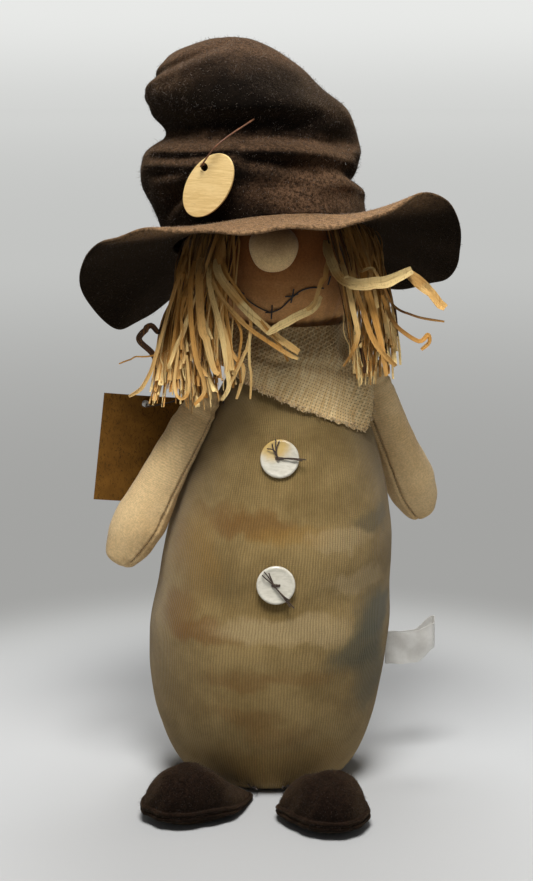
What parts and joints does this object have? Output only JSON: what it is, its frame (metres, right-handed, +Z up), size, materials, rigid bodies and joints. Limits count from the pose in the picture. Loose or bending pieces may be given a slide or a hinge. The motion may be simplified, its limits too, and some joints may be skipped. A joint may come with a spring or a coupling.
{
  "type": "scarecrow doll",
  "caption": "Stuffed cloth scarecrow doll that stands on a weighted base, with a slouched felt hat, raffia hair, a burlap scarf, swinging arms, felt feet and hanging tags.",
  "frame": {"origin": "centre of the base panel's underside, on the surface that the doll stands on", "axes": "+Z up, -Y is the way the face looks, +X to the viewer's right"},
  "size_m": [0.2191, 0.2188, 0.432],
  "materials": {
    "knit": "ribbed knit, dyed brown in blotches",
    "muslin": "plain woven cotton, tea dyed",
    "felt": "fuzzy dark brown wool felt",
    "burlap": "coarse open weave with frayed edges",
    "raffia": "dry natural raffia strips",
    "filling": "loose polyester fibre",
    "pellets": "pellets in a muslin pouch",
    "brown_thread": "waxed brown thread",
    "black_thread": "black embroidery thread",
    "shell": "polished pearl shell",
    "tag_wood": "thin sanded wood",
    "wire": "rusted thin wire",
    "kraft_card": "brown kraft card",
    "lock_plastic": "white",
    "satin": "white satin ribbon"
  },
  "bodies": {
    "torso": {"body_cover": "knit", "base_panel": "knit", "pellet_pouch": "pellets", "body_filling": "filling", "neck_thread": "brown_thread", "scarf": "burlap", "button_upper": "shell", "button_thread_upper": "brown_thread", "button_lower": "shell", "button_thread_lower": "brown_thread", "shoulder_thread_left": "brown_thread", "shoulder_thread_right": "brown_thread", "heel_thread_left": "brown_thread", "heel_thread_right": "brown_thread", "card_tag_string": "brown_thread", "card_tag_lock": "lock_plastic"},
    "head": {"head_cover": "muslin", "head_filling": "filling", "nose": "muslin", "mouth_thread": "black_thread", "hat_crown": "felt", "hat_brim": "felt", "hat_filling": "filling", "hair_left": "raffia", "hair_right": "raffia", "hair_back": "raffia", "oval_tag_wire": "wire"},
    "arm_left": {"arm_left_cover": "muslin", "arm_left_filling": "filling"},
    "arm_right": {"arm_right_cover": "muslin", "arm_right_filling": "filling"},
    "foot_left": {"foot_left_upper": "felt", "foot_left_sole": "felt", "foot_left_filling": "filling"},
    "foot_right": {"foot_right_upper": "felt", "foot_right_sole": "felt", "foot_right_filling": "filling"},
    "name_tag": {"oval_tag": "tag_wood"},
    "hang_tag": {"card_tag": "kraft_card"},
    "label": {"side_label": "satin"}
  },
  "joints": [
    {"name": "head_turn", "type": "hinge", "parent": "torso", "child": "head", "pos_m": [0.012, 0, 0.25772], "axis": [0, 0, 1], "range_deg": [-10, 10]},
    {"name": "left_arm_lift", "type": "hinge", "parent": "torso", "child": "arm_left", "pos_m": [-0.0359, -0.01935, 0.23227], "axis": [0, 1, 0], "range_deg": [0, 75]},
    {"name": "right_arm_lift", "type": "hinge", "parent": "torso", "child": "arm_right", "pos_m": [0.05854, 0.00874, 0.24095], "axis": [0, -1, 0], "range_deg": [0, 75]},
    {"name": "left_foot_droop", "type": "hinge", "parent": "torso", "child": "foot_left", "pos_m": [-0.00886, -0.05001, 0.002], "axis": [-0.5878, 0.809, 0], "range_deg": [-25, 0]},
    {"name": "right_foot_droop", "type": "hinge", "parent": "torso", "child": "foot_right", "pos_m": [0.01351, -0.04807, 0.002], "axis": [-0.891, -0.454, 0], "range_deg": [-25, 0]},
    {"name": "name_tag_swing", "type": "hinge", "parent": "head", "child": "name_tag", "pos_m": [-0.03314, -0.05991, 0.36492], "axis": [-0.3746, -0.9272, 0], "range_deg": [-40, 25]},
    {"name": "hang_tag_swing", "type": "hinge", "parent": "torso", "child": "hang_tag", "pos_m": [-0.073, 0.026, 0.219], "axis": [0.2588, -0.9659, 0], "range_deg": [-20, 5]},
    {"name": "label_flap", "type": "hinge", "parent": "torso", "child": "label", "pos_m": [0.07141, 0.0091, 0.072], "axis": [0, 0, 1], "range_deg": [-30, 30]}
  ]
}
